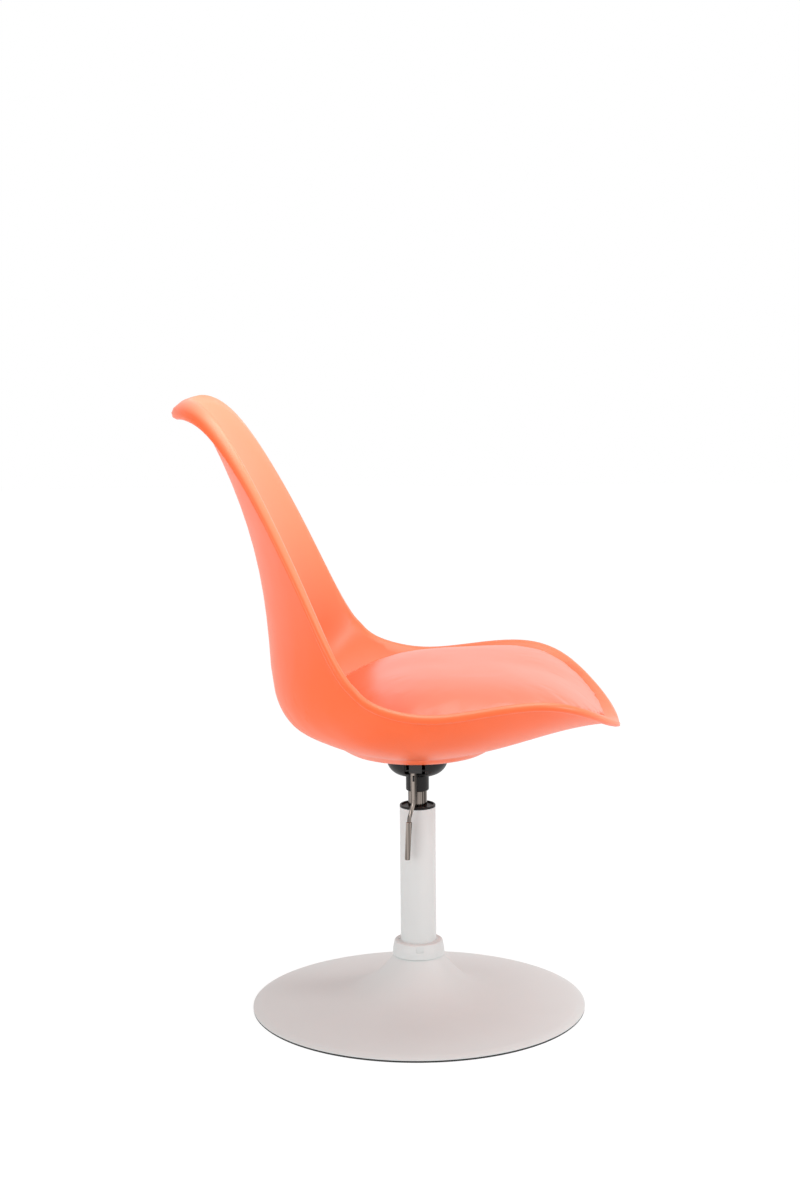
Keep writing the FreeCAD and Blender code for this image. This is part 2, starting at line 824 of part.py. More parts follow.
grip_radius = size("lever_grip_radius", 4)
grip_end_radius = size("lever_grip_end_radius", 3.6)
grip_drop = size("lever_grip_drop", 81.5)
grip_hole = size("lever_grip_hole", 1)
grip_hole_inset = size("lever_grip_hole_inset", 6)
knee_bend = size("lever_knee_radius", 25)

pivot = FreeCAD.Vector(0, -lever_arm.value, pivot_z.value)
along_x = FreeCAD.Vector(1, 0, 0)
hang_y = pivot.y - hang_reach.value
strip_bottom = pivot.z - knee_drop.value
strip_top = pivot.z - tongue_fall.value + strip_bite.value


def strip_box(grown):
    """The flat strip, or the mortise for it when grown by a clearance."""
    half = strip_half.value + grown
    thick = strip_thick.value + 2 * grown
    corner = FreeCAD.Vector(-lever_side.value - half, hang_y - thick / 2, strip_bottom)
    strip = Part.makeBox(2 * half, thick, strip_top + grown - strip_bottom, corner)
    upright = [edge for edge in strip.Edges if abs(edge.tangentAt(edge.FirstParameter).z) > 0.9]
    return strip.makeFillet(strip_round.value, upright)


def hub_shape():
    """Hub on the pin, arm with a round nose over the valve, and tongue that fills the slot."""
    width = hub_left.value + hub_right.value
    start = pivot - along_x * hub_left.value
    hub = Part.makeCylinder(hub_radius.value, width, start, along_x)
    bore = Part.makeCylinder(pin_radius.value + slip.value, width + 2, start - along_x, along_x)
    corner = FreeCAD.Vector(-arm_half.value, pivot.y, pivot.z - arm_thick.value / 2)
    arm = Part.makeBox(2 * arm_half.value, lever_arm.value, arm_thick.value, corner)
    nose_start = FreeCAD.Vector(-arm_half.value, 0, pivot.z)
    nose = Part.makeCylinder(nose_radius.value, 2 * arm_half.value, nose_start, along_x)
    front = pivot.y - tongue_reach.value
    channel_end = -channel_front.value - tongue_play.value
    outline = [
        (pivot.y, pivot.z + tongue_rise.value),
        (front, pivot.z + tongue_rise.value),
        (front, pivot.z - tongue_fall.value),
        (channel_end, pivot.z - tongue_fall.value),
        (channel_end, pivot.z - tongue_step.value),
        (pivot.y, pivot.z - hub_radius.value),
    ]
    corners = [FreeCAD.Vector(start.x, y, z) for y, z in outline]
    tongue = Part.Face(Part.makePolygon(corners + corners[:1])).extrude(along_x * width)
    return hub.fuse([arm, nose, tongue]).cut(bore).cut(strip_box(slip.value)).removeSplitter()


shaped("lever_hub", hub_shape())


def rounded_path(points, radii):
    """Straight runs joined by tangent arcs."""
    edges = []
    start = points[0]
    for index in range(1, len(points) - 1):
        corner = points[index]
        back = (points[index - 1] - corner).normalize()
        ahead = (points[index + 1] - corner).normalize()
        half = back.getAngle(ahead) / 2
        reach = radii[index - 1] / math.tan(half)
        enter = corner + back * reach
        leave = corner + ahead * reach
        centre = corner + (back + ahead).normalize() * (radii[index - 1] / math.sin(half))
        middle = centre + (corner - centre).normalize() * radii[index - 1]
        edges.append(Part.LineSegment(start, enter).toShape())
        edges.append(Part.Arc(enter, middle, leave).toShape())
        start = leave
    edges.append(Part.LineSegment(start, points[-1]).toShape())
    return Part.Wire(edges)


def swept_rod(points, radii, radius):
    path = rounded_path(points, radii)
    way = (points[1] - points[0]).normalize()
    ring = Part.Wire([Part.Circle(points[0], way, radius).toShape()])
    return path.makePipeShell([ring], True, False)


ankle = FreeCAD.Vector(-ankle_side.value, hang_y, pivot.z - ankle_drop.value)
tip = FreeCAD.Vector(-tip_side.value, hang_y, pivot.z - tip_drop.value)
grip_way = (tip - ankle).normalize()
grip_start = ankle + grip_way * ((grip_drop - ankle_drop).value / abs(grip_way.z))
grip_length = (tip - grip_start).Length


def lever_shape():
    """A flat strip with a slotted top, and the thin bent rod that goes down from it."""
    knee = FreeCAD.Vector(-lever_side.value, hang_y, strip_bottom)
    root = knee + FreeCAD.Vector(0, 0, strip_thick.value)
    rod = swept_rod([root, knee, ankle, tip], [knee_bend.value, knee_bend.value], thin_rod.value)
    corner = FreeCAD.Vector(-lever_side.value - fork_half.value, hang_y - strip_thick.value,
                            pivot.z - fork_drop.value)
    slot = Part.makeBox(2 * fork_half.value, 2 * strip_thick.value, fork_length.value, corner)
    return strip_box(0.0).cut(slot).fuse(rod).removeSplitter()


shaped("lever", lever_shape())


def grip_shape():
    """Sleeve on the lower end of the rod, a little thinner at its end, with a cross hole there."""
    over = thin_rod.value
    sleeve = Part.makeCone(grip_radius.value, grip_end_radius.value, grip_length + over, grip_start, grip_way)
    edges = [edge for edge in sleeve.Edges if isinstance(edge.Curve, Part.Circle)]
    sleeve = sleeve.makeFillet(grip_hole.value, edges)
    bore = Part.makeCylinder(thin_rod.value + slip.value, grip_length + slip.value, grip_start, grip_way)
    return sleeve.cut(bore)


shaped("lever_grip", grip_shape())

# Seat shell: a spine from the front edge to the top of the back, with wings on both sides
shell_wall = size("shell_wall", 5)
floor_thickness = size("shell_floor_thickness", 10)
boss_radius = size("boss_radius", 96)
boss_edge = size("boss_edge_width", 16)
boss_rise = size("boss_edge_rise", 5)
floor_radius = size("shell_floor_radius", 70)
lip_side = size("lip_width_side", 9)
lip_front = size("lip_width_front", 5)
lip_top = size("lip_width_top", 29)
lip_drop = size("lip_drop", 6)
rim_square_front = size("rim_squareness_front", 2.9)
rim_square_top = size("rim_squareness_top", 3.6)

# Each station of the spine: name, x, height above the boss, wing depth, wing lean in degrees
# forward from upright, half width and squareness of the section
shell_stations = [
    ("front", 269, 41, 63, -13, 211, 1.6),
    ("thigh", 193, 40, 91, 14, 226, 2.7),
    ("seat", 103, 15.5, 104, 16, 225, 2.9),
    ("middle", -18, 3, 99, 16, 233, 3.1),
    ("hip", -126, 28, 112, 30, 234, 3.2),
    ("corner", -170, 56, 122, 50, 234, 3.1),
    ("heel", -186, 88, 117, 63, 234, 2.9),
    ("lumbar", -194, 147, 101, 81, 233, 2.4),
    ("waist", -211, 269, 74, 95, 216, 1.9),
    ("shoulder", -241, 365, 61, 91, 205, 1.7),
    ("top", -294, 472, 70, 74, 178, 1.6),
]
spine_points = []
wing_points = []
width_points = []
for name, x, rise, depth, lean, half_width, square in shell_stations:
    spine_x = size("spine_%s_x" % name, x)
    spine_z = size("spine_%s_rise" % name, rise) + boss_bottom
    spine_points.append(FreeCAD.Vector(spine_x.value, 0, spine_z.value))
    wing_depth = size("wing_%s_depth" % name, depth)
    wing_lean = size("wing_%s_lean" % name, lean)
    wing_points.append(FreeCAD.Vector(wing_depth.value, wing_lean.value, 0))
    wing_width = size("wing_%s_width" % name, half_width)
    wing_square = size("wing_%s_squareness" % name, square)
    width_points.append(FreeCAD.Vector(wing_width.value, wing_square.value, 0))

stations = [0.0]
for before, after in zip(spine_points, spine_points[1:]):
    stations.append(stations[-1] + (after - before).Length)
spine_length = stations[-1]


def through(points):
    """A smooth curve through the values of all the stations."""
    curve = Part.BSplineCurve()
    curve.interpolate(Points=points, Parameters=stations)
    return curve


spine_curve = through(spine_points)
wing_curve = through(wing_points)
width_curve = through(width_points)


def shell_point(along, across):
    """A point of the outer surface: along the spine in mm, across as a share of the half width."""
    along = min(max(along, 0.0), spine_length)
    spine = spine_curve.value(along)
    wing = wing_curve.value(along)
    width = width_curve.value(along)
    depth = wing.x * abs(across) ** width.y
    lean = math.radians(wing.y)
    return spine + FreeCAD.Vector(math.sin(lean) * depth, width.x * across, math.cos(lean) * depth)


def inward(along, across):
    """The unit vector that points from the outer surface into the bucket."""
    low = max(along - 1.0, 0.0)
    high = min(along + 1.0, spine_length)
    forward = shell_point(high, across) - shell_point(low, across)
    sideways = shell_point(along, across + 0.005) - shell_point(along, across - 0.005)
    return sideways.cross(forward).normalize()


def axis_station():
    """Where the spine crosses the column's axis."""
    low = stations[2]
    high = stations[4]
    for step in range(40):
        middle = (low + high) / 2
        if spine_curve.value(middle).x > 0:
            low = middle
        else:
            high = middle
    return (low + high) / 2


centre_station = axis_station()
middle_width = width_curve.value(centre_station).x
ring_points = 32
ring_steps = 16
boss_steps = 3
foot_share = 0.08
below_lip = 0.97


def even_loop(front, back, half, square_front, square_back):
    """Evenly spaced points on a squared oval in the flattened shell, in mm from the axis."""
    dense = []
    steps = 720
    for step in range(steps):
        turn = 2 * math.pi * step / steps
        reach = front if math.cos(turn) > 0 else back
        power = square_front if math.cos(turn) > 0 else square_back
        radius = (abs(math.cos(turn) / reach) ** power + abs(math.sin(turn) / half) ** power) ** (-1 / power)
        dense.append((radius * math.cos(turn), radius * math.sin(turn)))
    dense.append(dense[0])
    lengths = [0.0]
    for before, after in zip(dense, dense[1:]):
        lengths.append(lengths[-1] + math.dist(before, after))
    loop = []
    index = 0
    for step in range(ring_points):
        target = lengths[-1] * step / ring_points
        while lengths[index + 1] < target:
            index += 1
        share = (target - lengths[index]) / (lengths[index + 1] - lengths[index])
        before, after = dense[index], dense[index + 1]
        loop.append((before[0] + (after[0] - before[0]) * share, before[1] + (after[1] - before[1]) * share))
    return loop


rim_loop = even_loop(centre_station, spine_length - centre_station, middle_width,
                     rim_square_front.value, rim_square_top.value)


def blend_loop(loop, share, radius):
    """A loop between a circle of a radius about the axis and the loop given."""
    mixed = []
    for index, (ahead, side) in enumerate(loop):
        turn = 2 * math.pi * index / ring_points
        mixed.append((radius * math.cos(turn) * (1 - share) + ahead * share,
                      radius * math.sin(turn) * (1 - share) + side * share))
    return mixed


def on_shell(loop, depth):
    """The loop's points at a depth inwards from the outer surface."""
    points = []
    for ahead, side in loop:
        along = centre_station - ahead
        across = side / middle_width
        points.append(shell_point(along, across) + inward(along, across) * depth)
    return points


def flat_circle(radius, height):
    turns = [2 * math.pi * index / ring_points for index in range(ring_points)]
    return [FreeCAD.Vector(radius * math.cos(turn), radius * math.sin(turn), height) for turn in turns]


def ring_wire(points):
    """A closed smooth wire through the points, with the same spacing on every ring."""
    curve = Part.BSplineCurve()
    even = [index / len(points) for index in range(len(points) + 1)]
    curve.interpolate(Points=points, PeriodicFlag=True, Parameters=even)
    return Part.Wire([curve.toShape()])


def lip_width(ahead, side):
    """The lip is narrow in front, wider along the sides and rolls far back at the top."""
    share = -ahead / (spine_length - centre_station)
    if share < 0:
        front_share = min(1.0, (ahead / centre_station) ** 4)
        return lip_side.value + (lip_front.value - lip_side.value) * front_share
    middle_share = 1 - (side / middle_width) ** 2
    return lip_side.value + (lip_top.value - lip_side.value) * share**5 * middle_share


# The lip's section from the outer wall round to the inside: how far outwards as a share of its
# width, how far down as a share of its depth, more of that where it is wide, and its arch
lip_section = [
    ("root", 0.1, 1.7, 0.45, 0.0),
    ("hook", 0.7, 1.6, 0.33, 0.0),
    ("heel", 0.92, 1.3, 0.28, 0.0),
    ("tip", 1.03, 0.85, 0.15, 0.0),
    ("edge", 0.97, 0.3, 0.02, 0.0),
    ("shoulder", 0.8, 0.0, 0.0, 0.05),
    ("crest", 0.45, 0.0, 0.0, 0.1),
    ("slope", 0.15, 0.0, 0.0, 0.05),
    ("inside", -0.1, 0.07, 0.0, 0.0),
]


def lip_ring(outward, fall, spread, arch):
    """A ring of the lip round the whole rim."""
    points = []
    for ahead, side in rim_loop:
        along = centre_station - ahead
        across = side / middle_width
        edge = shell_point(along, across)
        lower = shell_point(centre_station - ahead * below_lip, across * below_lip)
        down = (lower - edge).normalize()
        width = lip_width(ahead, side)
        depth = lip_drop.value * fall + (width - lip_side.value) * spread - width * arch
        points.append(edge - inward(along, across) * (outward * width) + down * depth)
    return points


def shell_shape():
    """One skin from the boss up the outside, over the lip and down the inside to the floor."""
    boss = boss_radius.value
    low = boss_bottom.value
    wall = shell_wall.value
    rings = []
    for step in range(boss_steps + 1):
        share = step / boss_steps
        radius = boss - boss_edge.value * (1 - share)
        rings.append(flat_circle(radius, low + boss_rise.value * share**2))
    for step in range(ring_steps):
        share = foot_share + (1 - foot_share) * step / ring_steps
        rings.append(on_shell(blend_loop(rim_loop, share, boss), 0.0))
    for name, outward, fall, spread, arch in lip_section:
        rings.append(lip_ring(outward, fall, spread, arch))
    for step in range(ring_steps, 0, -1):
        share = foot_share + (below_lip - foot_share) * step / ring_steps
        rings.append(on_shell(blend_loop(rim_loop, share, boss), wall))
    rings.append(flat_circle(floor_radius.value, low + floor_thickness.value))
    return Part.makeLoft([ring_wire(ring) for ring in rings], True, True)


shell_blank = doc.addObject("Part::Feature", "shell_blank")
shell_blank.Shape = shell_shape()
pocket_radius = plate_radius + loose
pocket = cylinder("plate_pocket", pocket_radius, boss_bottom - 1, plate_upper)
shell_tools = [pocket]
for index, (x, y) in enumerate(around(bolt_count, bolt_pitch, bolt_start)):
    shell_tools.append(cylinder("insert_hole%d" % index, insert_radius, plate_upper - 1,
                                plate_upper + insert_height, x, y))

post_pitch = size("post_pitch", 75)
post_radius = size("post_radius", 7)
cushion_screw_radius = size("cushion_screw_radius", 2.5)
cushion_screw_head = size("cushion_screw_head_radius", 4.5)
cushion_screw_depth = size("cushion_screw_head_depth", 3)
board_rise = size("board_rise", 31)
board_thickness = size("board_thickness", 9)
board_bottom = boss_bottom + board_rise
board_top = board_bottom + board_thickness
screw_bite = size("cushion_screw_bite", 6)
post_start = 0
posts = []
for index, (x, y) in enumerate(around(bolt_count, post_pitch, post_start)):
    posts.append(cylinder("post%d" % index, post_radius, boss_bottom + floor_thickness / 2,
                          board_bottom, x, y))
    shell_tools.append(cylinder("post_bore%d" % index, cushion_screw_radius + slip,
                                boss_bottom - 1, board_bottom + 1, x, y))
    shell_tools.append(cylinder("post_sink%d" % index, cushion_screw_head + loose,
                                boss_bottom - 1, boss_bottom + cushion_screw_depth, x, y))
shell_posts = fuse("shell_with_posts", [shell_blank] + posts)
node(cut("shell_machined", shell_posts, fuse("shell_cuts", shell_tools)), "seat_shell")

# Cushion: board, foam and leatherette cover, screwed on from below
board_centre = size("board_centre", 15)
board_length = size("board_half_length", 110)
board_width = size("board_half_width", 126)
board_square = size("board_squareness", 2.3)
cover_thickness = size("cover_thickness", 1.2)
cushion_gap = size("cushion_gap", 3)
crown_centre = size("crown_centre", 75)
crown_rise = size("crown_rise", 119)
seam_front = size("seam_front", 16)
seam_back = size("seam_back", 436)
seam_width = size("seam_half_width", 217)
seam_square = size("seam_squareness", 2.7)
side_lift = size("pad_side_lift", 14)
side_fullness = size("crown_side_fullness", 5)
end_fullness = size("crown_end_fullness", 3)


def board_ring(outward, height):
    points = []
    for index in range(ring_points):
        turn = 2 * math.pi * index / ring_points
        power = board_square.value
        spread = (abs(math.cos(turn)) ** power + abs(math.sin(turn)) ** power) ** (-1 / power)
        across = (board_length.value + outward) * math.cos(turn) * spread
        along = (board_width.value + outward) * math.sin(turn) * spread
        points.append(FreeCAD.Vector(board_centre.value + across, along, height))
    return points


board_face = Part.Face(ring_wire(board_ring(0.0, board_bottom.value)))
board_blank = doc.addObject("Part::Feature", "board_blank")
board_blank.Shape = board_face.extrude(FreeCAD.Vector(0, 0, board_thickness.value))
board_holes = []
cushion_screws = []
for index, (x, y) in enumerate(around(bolt_count, post_pitch, post_start)):
    board_holes.append(cylinder("board_hole%d" % index, cushion_screw_radius + slip,
                                board_bottom - 1, board_bottom + screw_bite, x, y))
    head = cylinder("cushion_head%d" % index, cushion_screw_head, boss_bottom + slip,
                    boss_bottom + cushion_screw_depth, x, y)
    shank = cylinder("cushion_shank%d" % index, cushion_screw_radius, boss_bottom + slip,
                     board_bottom + screw_bite - slip, x, y)
    cushion_screws.append(fuse("cushion_screw%d" % index, [head, shank]))
node(cut("board_drilled", board_blank, fuse("board_hole_set", board_holes)), "cushion_board")
group("cushion_screws", cushion_screws)

seam_middle = (seam_front + seam_back) / 2
seam_offset = centre_station - seam_middle.value
seam_reach = (seam_back.value - seam_front.value) / 2
seam_loop = [
    (seam_offset + ahead, side)
    for ahead, side in even_loop(seam_reach, seam_reach, seam_width.value,
                                 seam_square.value, seam_square.value)
]


def facets(rings):
    """A solid of flat triangles between rings: soft pieces give way, so they need no finer form."""
    faces = []
    for lower, upper in zip(rings, rings[1:]):
        for index in range(ring_points):
            after = (index + 1) % ring_points
            near = [lower[index], lower[after], upper[after]]
            far = [lower[index], upper[after], upper[index]]
            faces.append(Part.Face(Part.makePolygon(near + near[:1])))
            faces.append(Part.Face(Part.makePolygon(far + far[:1])))
    for ring in (rings[0], rings[-1]):
        faces.append(Part.Face(Part.makePolygon(ring + ring[:1])))
    return Part.Solid(Part.makeShell(faces))


def shrunk(rings, wall, bottom):
    """The pad's rings moved inwards by a wall, with the foot at a height."""
    moved = []
    for level, ring in enumerate(rings):
        below = rings[max(level - 1, 0)]
        above = rings[min(level + 1, len(rings) - 1)]
        points = []
        for index, point in enumerate(ring):
            sideways = ring[(index + 1) % ring_points] - ring[index - 1]
            outward = sideways.cross(above[index] - below[index]).normalize()
            points.append(point - outward * wall)
        moved.append(points)
    for points, height in ((moved[0], bottom), (moved[-1], rings[-1][0].z - wall)):
        for point in points:
            point.z = height
    return moved


def cushion_rings(bottom, foot):
    """A crowned pad: a foot the size of the board, sides that follow the shell, a full top."""
    depth = shell_wall.value + cushion_gap.value
    seam = on_shell(seam_loop, depth)
    crown = FreeCAD.Vector(crown_centre.value, 0, boss_bottom.value + crown_rise.value)
    rings = [board_ring(foot, bottom)]
    hub = (board_centre.value, 0.0)
    for share in (0.72, 0.9):
        loop = [(hub[0] + (ahead - hub[0]) * share, side * share) for ahead, side in seam_loop]
        rings.append(on_shell(loop, depth + (1 - share) * side_lift.value))
    rings.append(seam)
    for share in (0.95, 0.86, 0.72, 0.52, 0.3):
        points = []
        for index, edge in enumerate(seam):
            turn = 2 * math.pi * index / ring_points
            power = end_fullness.value + (side_fullness.value - end_fullness.value) * math.sin(turn) ** 2
            level = edge.z + (crown.z - edge.z) * (1 - share**power)
            points.append(FreeCAD.Vector(crown.x + (edge.x - crown.x) * share, edge.y * share, level))
        rings.append(points)
    small = rings[-1]
    cap = [FreeCAD.Vector(crown.x + (point.x - crown.x) / 3, point.y / 3, crown.z) for point in small]
    rings.append(cap)
    return rings


wrap = size("cover_wrap", 2.5)
cover_foot = board_bottom + size("cover_foot_rise", 1)
pad_rings = cushion_rings(cover_foot.value, wrap.value)
cover_inner = facets(shrunk(pad_rings, cover_thickness.value, cover_foot.value))
shaped("cushion_cover", facets(pad_rings).cut(cover_inner))
board_room = Part.Face(ring_wire(board_ring(loose.value, board_bottom.value)))
board_room = board_room.extrude(FreeCAD.Vector(0, 0, board_thickness.value + loose.value))
shaped("cushion_foam", cover_inner.cut(board_room))

doc.recompute()
failed = []
for item in doc.Objects:
    if "Invalid" in item.State or "Error" in item.State:
        failed.append("%s is %s" % (item.Name, ", ".join(item.State)))
for item in nodes:
    if item.Shape.isNull() or not item.Shape.isValid():
        failed.append("%s has no valid shape" % item.Label)
    elif not item.Shape.Solids:
        failed.append("%s has no solid" % item.Label)
if failed:
    raise RuntimeError("; ".join(failed))

os.makedirs("parts", exist_ok=True)
for item in nodes:
    item.Shape.exportStep(os.path.join("parts", item.Label + ".step"))
print("%d pieces written" % len(nodes))
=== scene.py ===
"""Swivel dining chair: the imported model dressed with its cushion, finishes and a pale studio."""
import math

import bmesh
import bpy
from mathutils import Euler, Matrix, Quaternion, Vector


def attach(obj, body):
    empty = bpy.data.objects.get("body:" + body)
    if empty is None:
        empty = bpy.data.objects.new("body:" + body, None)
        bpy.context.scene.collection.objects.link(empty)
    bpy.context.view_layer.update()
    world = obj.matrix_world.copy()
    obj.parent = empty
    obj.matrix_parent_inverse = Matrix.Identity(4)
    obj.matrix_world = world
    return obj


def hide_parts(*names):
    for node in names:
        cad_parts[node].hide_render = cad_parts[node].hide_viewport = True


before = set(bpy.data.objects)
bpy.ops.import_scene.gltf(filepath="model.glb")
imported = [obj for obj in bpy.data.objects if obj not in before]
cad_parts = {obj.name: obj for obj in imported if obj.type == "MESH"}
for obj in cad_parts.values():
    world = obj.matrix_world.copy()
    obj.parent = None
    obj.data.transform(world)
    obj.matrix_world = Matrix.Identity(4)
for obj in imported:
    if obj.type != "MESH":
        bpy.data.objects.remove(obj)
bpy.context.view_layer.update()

scene = bpy.context.scene

# Camera: a long lens at the chair's right-hand side, above the seat and tilted down a little. The
# lens is given for an image 36 mm high, which is how tall the upright frame is.
lens_length = 72.0
frame_height = 36.0
camera_place = (-0.0213, -3.1313, 1.0787)
level_view = math.radians(90)
camera_dip = math.radians(9.435)
camera_roll = math.radians(-0.486)
lens = bpy.data.cameras.new("studio_camera")
lens.sensor_fit = "AUTO"
lens.sensor_width = frame_height
lens.lens = lens_length
camera = bpy.data.objects.new("studio_camera", lens)
scene.collection.objects.link(camera)
camera.location = camera_place
camera.rotation_mode = "QUATERNION"
tilt = Euler((level_view - camera_dip, 0, 0)).to_quaternion()
camera.rotation_quaternion = tilt @ Quaternion((0, 0, 1), camera_roll)
scene.camera = camera

# Studio: a white floor in a white room that lights the chair evenly from all round, with wide soft
# lamps overhead, in front of the chair and low beside it. The floor is drawn white for the camera
# and still takes the chair's shadow.
floor_half = 6.0
floor_white = (0.9, 0.9, 0.9, 1)
floor_glow = 1.07
shadow_share = 0.12
room_white = (1, 1, 1, 1)
room_level = 0.62
backdrop_level = 1.0
lamp_watts = 24
seat_middle = (0.0, 0.0, 0.5)
column_middle = (0.0, 0.0, 0.3)
broad = 1.6
narrow = 1.2
lamps = {"overhead_lamp": ((0.4, 0.2, 2.4), seat_middle, broad),
         "front_lamp": ((2.4, -0.9, 1.4), seat_middle, narrow),
         "side_lamp": ((-1.8, -2.0, 0.45), column_middle, broad)}

floor_mesh = bmesh.new()
bmesh.ops.create_grid(floor_mesh, x_segments=1, y_segments=1, size=floor_half)
floor_data = bpy.data.meshes.new("studio_floor")
floor_mesh.to_mesh(floor_data)
floor_mesh.free()
floor = bpy.data.objects.new("studio_floor", floor_data)
scene.collection.objects.link(floor)


def seen_directly(nodes, links):
    """1 for what the camera, a mirror or a clear piece shows, 0 for light on its way to the chair."""
    rays = nodes.new("ShaderNodeLightPath")
    total = rays.outputs["Is Camera Ray"]
    for ray in ("Is Glossy Ray", "Is Transmission Ray"):
        either = nodes.new("ShaderNodeMath")
        either.operation = "MAXIMUM"
        links.new(total, either.inputs[0])
        links.new(rays.outputs[ray], either.inputs[1])
        total = either.outputs[0]
    return total


def show_blend(nodes, links, share, first, second, output_type):
    """The output shows the first shader, and the second one by the share."""
    blend = nodes.new("ShaderNodeMixShader")
    for source, socket in zip((share, first.outputs[0], second.outputs[0]), blend.inputs):
        links.new(source, socket)
    output = nodes.new(output_type)
    links.new(blend.outputs[0], output.inputs["Surface"])


floor_paint = bpy.data.materials.new("studio_floor_white")
floor_paint.use_nodes = True
nodes, links = floor_paint.node_tree.nodes, floor_paint.node_tree.links
nodes.clear()
shadowed = nodes.new("ShaderNodeBsdfDiffuse")
shadowed.inputs["Color"].default_value = floor_white
glow = nodes.new("ShaderNodeEmission")
glow.inputs["Strength"].default_value = floor_glow
part_lit = nodes.new("ShaderNodeMath")
part_lit.operation = "MULTIPLY"
part_lit.inputs[1].default_value = 1 - shadow_share
links.new(seen_directly(nodes, links), part_lit.inputs[0])
show_blend(nodes, links, part_lit.outputs[0], shadowed, glow, "ShaderNodeOutputMaterial")
floor_data.materials.append(floor_paint)

room = bpy.data.worlds.new("studio_room")
scene.world = room
room.use_nodes = True
nodes, links = room.node_tree.nodes, room.node_tree.links
nodes.clear()
walls = nodes.new("ShaderNodeBackground")
walls.inputs["Color"].default_value = room_white
walls.inputs["Strength"].default_value = room_level
backdrop = nodes.new("ShaderNodeBackground")
backdrop.inputs["Color"].default_value = room_white
backdrop.inputs["Strength"].default_value = backdrop_level
show_blend(nodes, links, seen_directly(nodes, links), walls, backdrop, "ShaderNodeOutputWorld")

for name, (place, aim, width) in lamps.items():
    panel = bpy.data.lights.new(name, "AREA")
    panel.shape = "SQUARE"
    panel.size = width
    panel.energy = lamp_watts
    lamp = bpy.data.objects.new(name, panel)
    lamp.location = place
    lamp.rotation_mode = "QUATERNION"
    lamp.rotation_quaternion = (Vector(aim) - Vector(place)).to_track_quat("-Z", "Y")
    scene.collection.objects.link(lamp)

scene.view_settings.view_transform = "Standard"

# Base: a spun steel dish, powder coated warm white like the column and its collar, on a ring of
# black rubber that keeps it off the floor. The seals and the buffer inside are the same rubber.
grain_size = 0.001
grain_height = 0.00002
grain_detail = 2.0
patch_size = 0.05
patch_detail = 3.0

surface_grain = bpy.data.node_groups.new("surface_grain", "ShaderNodeTree")
for socket, value in (("Grain Size", grain_size), ("Grain Height", grain_height),
                      ("Patch Size", patch_size)):
    surface_grain.interface.new_socket(
        socket, in_out="INPUT", socket_type="NodeSocketFloat").default_value = value
surface_grain.interface.new_socket("Patches", in_out="OUTPUT", socket_type="NodeSocketFloat")
surface_grain.interface.new_socket("Normal", in_out="OUTPUT", socket_type="NodeSocketVector")
nodes, links = surface_grain.nodes, surface_grain.links
values = nodes.new("NodeGroupInput")
result = nodes.new("NodeGroupOutput")
place = nodes.new("ShaderNodeTexCoord")


def noise(size_socket, detail):
    """Noise in the piece's own space, with spots of the size that the socket gives."""
    per_metre = nodes.new("ShaderNodeMath")
    per_metre.operation = "DIVIDE"
    per_metre.inputs[0].default_value = 1.0
    links.new(values.outputs[size_socket], per_metre.inputs[1])
    pattern = nodes.new("ShaderNodeTexNoise")
    pattern.inputs["Detail"].default_value = detail
    links.new(place.outputs["Object"], pattern.inputs["Vector"])
    links.new(per_metre.outputs[0], pattern.inputs["Scale"])
    return pattern.outputs["Fac"]


links.new(noise("Patch Size", patch_detail), result.inputs["Patches"])
bump = nodes.new("ShaderNodeBump")
bump.inputs["Strength"].default_value = 1.0
links.new(values.outputs["Grain Height"], bump.inputs["Distance"])
links.new(noise("Grain Size", grain_detail), bump.inputs["Height"])
links.new(bump.outputs["Normal"], result.inputs["Normal"])


def finish(name, colour, roughness, metallic=0.0, uneven=0.04, change=0.06, grain=grain_size,
           height=grain_height):
    """A material whose colour, gloss and surface vary a little, as the real finish does."""
    made = bpy.data.materials.new(name)
    made.use_nodes = True
    nodes, links = made.node_tree.nodes, made.node_tree.links
    shader = nodes["Principled BSDF"]
    shader.inputs["Metallic"].default_value = metallic
    texture = nodes.new("ShaderNodeGroup")
    texture.node_tree = surface_grain
    texture.inputs["Grain Size"].default_value = grain
    texture.inputs["Grain Height"].default_value = height
    texture.inputs["Patch Size"].default_value = patch_size
    tint = nodes.new("ShaderNodeMapRange")
    tint.inputs["To Min"].default_value = 1 - change
    tint.inputs["To Max"].default_value = 1 + change
    links.new(texture.outputs["Patches"], tint.inputs["Value"])
    shade = nodes.new("ShaderNodeVectorMath")
    shade.operation = "SCALE"
    shade.inputs[0].default_value = colour
    links.new(tint.outputs[0], shade.inputs["Scale"])
    links.new(shade.outputs[0], shader.inputs["Base Color"])
    gloss = nodes.new("ShaderNodeMapRange")
    gloss.inputs["To Min"].default_value = roughness - uneven
    gloss.inputs["To Max"].default_value = roughness + uneven
    links.new(texture.outputs["Patches"], gloss.inputs["Value"])
    links.new(gloss.outputs[0], shader.inputs["Roughness"])
    links.new(texture.outputs["Normal"], shader.inputs["Normal"])
    return made


def dress(material, *names):
    """Give CAD nodes their finish."""
    for name in names:
        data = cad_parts[name].data
        data.materials.clear()
        data.materials.append(material)


powder_coat = finish("warm_white_powder_coat", colour=(0.7, 0.73, 0.725), roughness=0.5,
                     change=0.02, grain=0.0009, height=0.00003)
dress(powder_coat, "base_dish", "column_tube", "base_collar")
rubber = finish("black_rubber", colour=(0.012, 0.012, 0.012), roughness=0.75, height=0.00004)
dress(rubber, "rim_gasket", "rubber_buffer", "piston_seal", "cylinder_seal")

